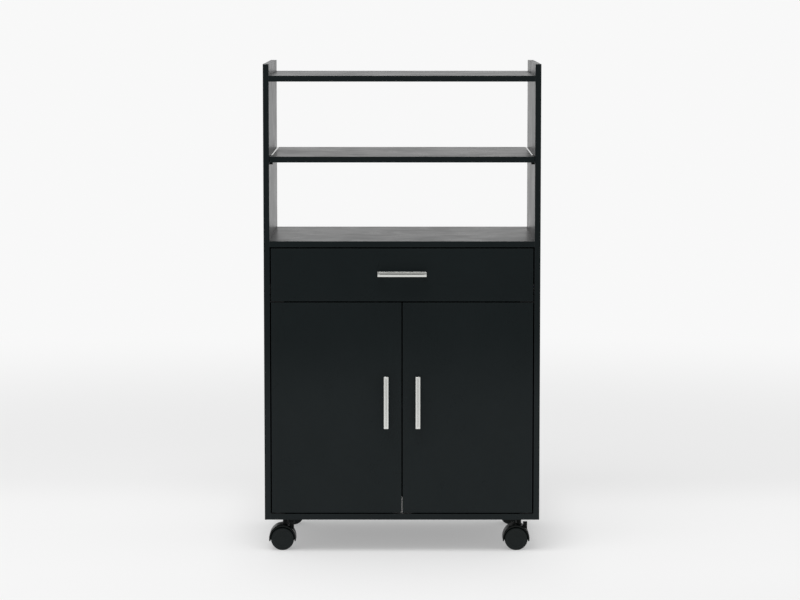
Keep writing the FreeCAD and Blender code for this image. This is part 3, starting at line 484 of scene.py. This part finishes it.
def carved(name, solid, tool):
    """Mesh of a solid with a tool's shape cut out of it."""
    body = as_object(name, solid)
    cutter = as_object(name + "_cutter", tool)
    cut = body.modifiers.new("cut", "BOOLEAN")
    cut.object = cutter
    cut.operation = "DIFFERENCE"
    cut.solver = "EXACT"
    cut.use_self = True
    finished = body.evaluated_get(bpy.context.evaluated_depsgraph_get())
    shape = bpy.data.meshes.new_from_object(finished)
    for scratch in (body, cutter):
        bpy.data.objects.remove(scratch)
    return shape


def recessed_screw(name, head, shank, head_height, length, domed):
    """Mesh of one screw that points down, with the top of its head at the origin."""
    point = 0.0008
    if domed:
        brim = -0.35 * head_height
        crown = [(0.0, 0.0), (0.45 * head, 0.06 * brim), (0.80 * head, 0.42 * brim)]
        under = [(head, -head_height), (shank, -head_height)]
    else:
        brim = -0.0002
        crown = [(0.0, 0.0), (0.96 * head, 0.0)]
        under = [(shank, -head_height)]
    tip = [(shank, point - length), (0.4 * shank, -length), (0.0, -length)]
    recess = cross_cutter(reach=0.56 * head, width=0.13 * head, depth=0.72 * head_height)
    return carved(name, lathe(crown + [(head, brim)] + under + tip), recess)


def separate_solids(node):
    """Corner lists of the solids in a CAD node, in the order of the mesh."""
    bm = bmesh.new()
    bm.from_mesh(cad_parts[node].data)
    bmesh.ops.remove_doubles(bm, verts=bm.verts, dist=WELD_DISTANCE)
    waiting = set(bm.verts)
    solids = []
    for first in bm.verts:
        if first not in waiting:
            continue
        waiting.remove(first)
        reached = [first]
        for vert in reached:
            for edge in vert.link_edges:
                other = edge.other_vert(vert)
                if other in waiting:
                    waiting.remove(other)
                    reached.append(other)
        solids.append([vert.co.copy() for vert in reached])
    bm.free()
    return solids


def head_place(points):
    """Where a plain CAD screw's head ends, and the direction that the head faces."""
    low = Vector([min(point[k] for point in points) for k in range(3)])
    high = Vector([max(point[k] for point in points) for k in range(3)])
    middle = (low + high) / 2
    long_axis = max(range(3), key=lambda k: high[k] - low[k])
    length = (high - low)[long_axis]
    direction = Vector([float(k == long_axis) for k in range(3)])
    almost_half = 0.49 * length

    def girth(side):
        """Largest radius at one end of the screw."""
        arms = [point - middle for point in points]
        end = [arm for arm in arms if side * arm[long_axis] > almost_half]
        return max((arm - direction * arm[long_axis]).length for arm in end)

    if girth(-1) > girth(1):
        direction = -direction
    return middle + direction * length / 2, direction


def fit_screws(node, body, shape):
    """One piece with a recessed screw for each plain screw of a CAD node."""
    bm = bmesh.new()
    for points in separate_solids(node):
        place, direction = head_place(points)
        turn = direction.to_track_quat("Z", "Y").to_matrix().to_4x4()
        spin = Matrix.Rotation(random.uniform(0, math.pi / 2), 4, "Z")
        screw = shape.copy()
        screw.transform(Matrix.Translation(place) @ turn @ spin)
        bm.from_mesh(screw)
        bpy.data.meshes.remove(screw)
    piece = as_object(node + "_recessed", bm)
    piece.data.materials.append(FINISHES["zinc"])
    soften(piece, SCREW_EDGE)
    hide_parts(node)
    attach(piece, body)


COUNTERSUNK = recessed_screw("countersunk", head=0.0034, shank=0.00175, head_height=0.0015,
                             length=0.0100, domed=False)
PAN_HEAD = recessed_screw("pan_head", head=0.0040, shank=0.0020, head_height=0.0025,
                          length=0.0252, domed=True)
fit_screws("hardware_screws", "cabinet", COUNTERSUNK)
fit_screws("drawer_screws", "drawer", COUNTERSUNK)
fit_screws("drawer_handle_screws", "drawer", PAN_HEAD)
fit_screws("left_door_handle_screws", "left_door", PAN_HEAD)
fit_screws("right_door_handle_screws", "right_door", PAN_HEAD)


# ---- Magnetic catch ----

def add_block(bm, low, high):
    """Box between two corners, added to a mesh."""
    for vert in bmesh.ops.create_cube(bm, size=1.0)["verts"]:
        vert.co = Vector([low[k] if vert.co[k] < 0 else high[k] for k in range(3)])


def pocketed_block(bm, xs, zs, front, floor, rear):
    """Block whose front has a pocket in every second middle cell of its grid."""
    corners = {}

    def face(*places):
        """Face through the corners at (column, depth, row)."""
        for i, y, k in places:
            if (i, y, k) not in corners:
                corners[i, y, k] = bm.verts.new((xs[i], y, zs[k]))
        bm.faces.new([corners[place] for place in places])

    columns, rows = len(xs) - 1, len(zs) - 1
    for i in range(columns):
        for k in range(rows):
            ring = [(i, k), (i + 1, k), (i + 1, k + 1), (i, k + 1)]
            pocket = i % 2 == 1 and 0 < k < rows - 1
            y = floor if pocket else front
            face(*((a, y, c) for a, c in ring))
            face((i, rear, k), (i, rear, k + 1), (i + 1, rear, k + 1), (i + 1, rear, k))
            if pocket:
                for (a, c), (d, e) in zip(ring, ring[1:] + ring[:1]):
                    face((a, front, c), (d, front, e), (d, floor, e), (a, floor, c))
    around = ([(i, 0) for i in range(columns)] + [(columns, k) for k in range(rows)]
              + [(i, rows) for i in range(columns, 0, -1)] + [(0, k) for k in range(rows, 0, -1)])
    for (a, c), (d, e) in zip(around, around[1:] + around[:1]):
        face((a, front, c), (a, rear, c), (d, rear, e), (d, front, e))
    bmesh.ops.recalc_face_normals(bm, faces=bm.faces)


def planes_of(edge, planes):
    """How many of the planes, each an axis and a place on it, hold the whole edge."""
    near = 0.00001
    return sum(all(abs(vert.co[k] - place) < near for vert in edge.verts) for k, place in planes)


def build_catch():
    """Moulded housing with a foot, and behind each door a magnet between two pole plates."""
    low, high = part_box("magnetic_catch")
    middle = (low.z + high.z) / 2
    front, floor, rear = low.y + 0.0005, low.y + 0.008, low.y + 0.012
    pocket_in, pocket_out, pocket_up = 0.0056, 0.0204, 0.0114
    foot_inset, foot_overlap, foot_thick = 0.001, 0.003, 0.0028
    magnet_x, magnet_half, magnet_up = 0.013, 0.0054, 0.0108
    magnet_front, magnet_rear = low.y + 0.0012, low.y + 0.0075
    plate_x, plate_half, plate_up, plate_rear = 0.0061, 0.0006, 0.0110, low.y + 0.0078

    housing = bmesh.new()
    pocketed_block(housing, (low.x, -pocket_out, -pocket_in, pocket_in, pocket_out, high.x),
                   (low.z, middle - pocket_up, middle + pocket_up, high.z), front, floor, rear)
    outside = ((0, low.x), (0, high.x), (1, front), (1, rear), (2, low.z), (2, high.z))
    outer = [edge for edge in housing.edges if planes_of(edge, outside) == 2]
    bmesh.ops.bevel(housing, geom=outer, offset=0.0009, segments=3, affect="EDGES", profile=0.5)
    add_block(housing, (low.x + foot_inset, rear - foot_overlap, low.z),
              (high.x - foot_inset, high.y, low.z + foot_thick))

    magnets = bmesh.new()
    plates = bmesh.new()
    for x in (-magnet_x, magnet_x):
        add_block(magnets, (x - magnet_half, magnet_front, middle - magnet_up),
                  (x + magnet_half, magnet_rear, middle + magnet_up))
        for hand in (-1, 1):
            add_block(plates, (x + hand * plate_x - plate_half, low.y, middle - plate_up),
                      (x + hand * plate_x + plate_half, plate_rear, middle + plate_up))

    for name, bm, finish, slot in (("catch_housing", housing, "moulding", "catch_grey"),
                                   ("catch_magnets", magnets, "ferrite", "catch_grey"),
                                   ("catch_pole_plates", plates, "zinc", "zinc_steel")):
        piece = as_object(name, bm)
        piece.data.materials.append(FINISHES[finish])
        soften(piece, CATCH_EDGE)
        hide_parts("magnetic_catch")
        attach(piece, "cabinet")


build_catch()


# ---- Floor, light and camera ----

def pale_floor():
    """Pale floor that keeps the shadow under the cart and fades into the white surroundings.

    The camera and reflections see the fading floor; for the light it is plain and matte. Far in
    front it is as dim in reflections as the room there. Beside the cart it has painted light,
    which lightens the cart's shade there.
    """
    g = look("studio_floor")
    rays = g.add("ShaderNodeLightPath").outputs
    seen = g.math("MAXIMUM", g.math("MAXIMUM", rays["Is Camera Ray"], rays["Is Glossy Ray"]),
                  rays["Is Transmission Ray"])
    distance = g.add("ShaderNodeVectorMath", {0: g.place}, operation="LENGTH").outputs["Value"]
    # painted light: beside the cart, 0.26 to 0.44 m out from its middle and near it lengthwise, the
    # floor turns part way to the white glow, lightening the shade there
    outside = g.between(g.math("ABSOLUTE", g.axis("X")), 0.26, 0.44, 0.0, 0.55)
    abreast = g.between(g.math("ABSOLUTE", g.axis("Y")), 0.85, 0.35)
    white = g.math("MAXIMUM", g.between(distance, 1.3, 4.0), g.math("MULTIPLY", outside, abreast))
    in_front = g.math("MULTIPLY", rays["Is Glossy Ray"], g.between(g.axis("Y"), -2.0, -5.0))

    def diffuse(grey):
        return g.add("ShaderNodeBsdfDiffuse", {"Color": (grey, grey, grey, 1.0)}).outputs[0]

    def glow(strength):
        return g.add("ShaderNodeEmission", {"Color": (WHITE, WHITE, WHITE, 1.0),
                                            "Strength": strength}).outputs[0]

    def mixed(factor, a, b):
        return g.add("ShaderNodeMixShader", {0: factor, 1: a, 2: b}).outputs[0]

    shaded = g.add("ShaderNodeAddShader", {0: diffuse(0.57), 1: glow(0.36)}).outputs[0]
    shown = mixed(in_front, mixed(white, shaded, glow(1.0)), glow(FRONT_ROOM))
    g.add("ShaderNodeOutputMaterial", {"Surface": mixed(seen, diffuse(0.86), shown)})
    return g.owner


def add_floor():
    bm = bmesh.new()
    bmesh.ops.create_circle(bm, cap_ends=True, segments=96, radius=30.0)
    floor = as_object("studio_floor", bm)
    floor.data.materials.append(pale_floor())


def add_world():
    """White world to the camera; in reflections it dims upwards and towards the room in front."""
    zenith, matte_light = 0.55, 0.70
    world = bpy.data.worlds.new("studio")
    bpy.context.scene.world = world
    g = Graph(world, "Generated")
    rays = g.add("ShaderNodeLightPath").outputs
    seen = g.math("MAXIMUM", rays["Is Camera Ray"], rays["Is Transmission Ray"])
    height = g.between(g.axis("Z"), 0.12, 0.75, WHITE, zenith, "LINEAR")
    depth = g.between(g.axis("Y"), -0.75, 0.25, FRONT_ROOM, 1.0, "LINEAR")
    light = g.mix(rays["Is Glossy Ray"], matte_light, g.math("MULTIPLY", height, depth))
    background = g.add("ShaderNodeBackground", {"Color": (1.0, 1.0, 1.0, 1.0),
                                                "Strength": g.mix(seen, light, WHITE)})
    g.add("ShaderNodeOutputWorld", {"Surface": background.outputs[0]})


def add_lamp(name, place, size, watts, mirrored):
    """Round lamp that faces the middle of the cart, and shows in reflections if mirrored."""
    middle = Vector((0.0, 0.0, 0.5))
    data = bpy.data.lights.new(name, "AREA")
    data.shape = "DISK"
    data.size = size
    data.energy = watts
    lamp = bpy.data.objects.new(name, data)
    lamp.location = place
    lamp.visible_glossy = mirrored
    lamp.rotation_euler = (middle - Vector(place)).to_track_quat("-Z", "Y").to_euler()
    bpy.context.scene.collection.objects.link(lamp)


def add_camera():
    """Camera of the photograph, fitted to the outline of the cart in it."""
    down, left = 0.105044, 0.001151
    data = bpy.data.cameras.new("camera")
    data.sensor_width = 36.0
    data.lens = 131.367
    data.clip_end = 200.0
    camera = bpy.data.objects.new("camera", data)
    camera.location = (0.0028, -6.486, 1.22)
    camera.rotation_euler = (math.pi / 2 - down, 0.0, left)
    bpy.context.scene.collection.objects.link(camera)
    bpy.context.scene.camera = camera


add_floor()
add_world()
add_lamp("overhead", place=(-0.5, -1.6, 3.6), size=2.4, watts=55.0, mirrored=True)
add_lamp("front", place=(0.9, -6.4, 1.9), size=1.8, watts=30.0, mirrored=False)
add_camera()
bpy.context.scene.view_settings.view_transform = "Standard"
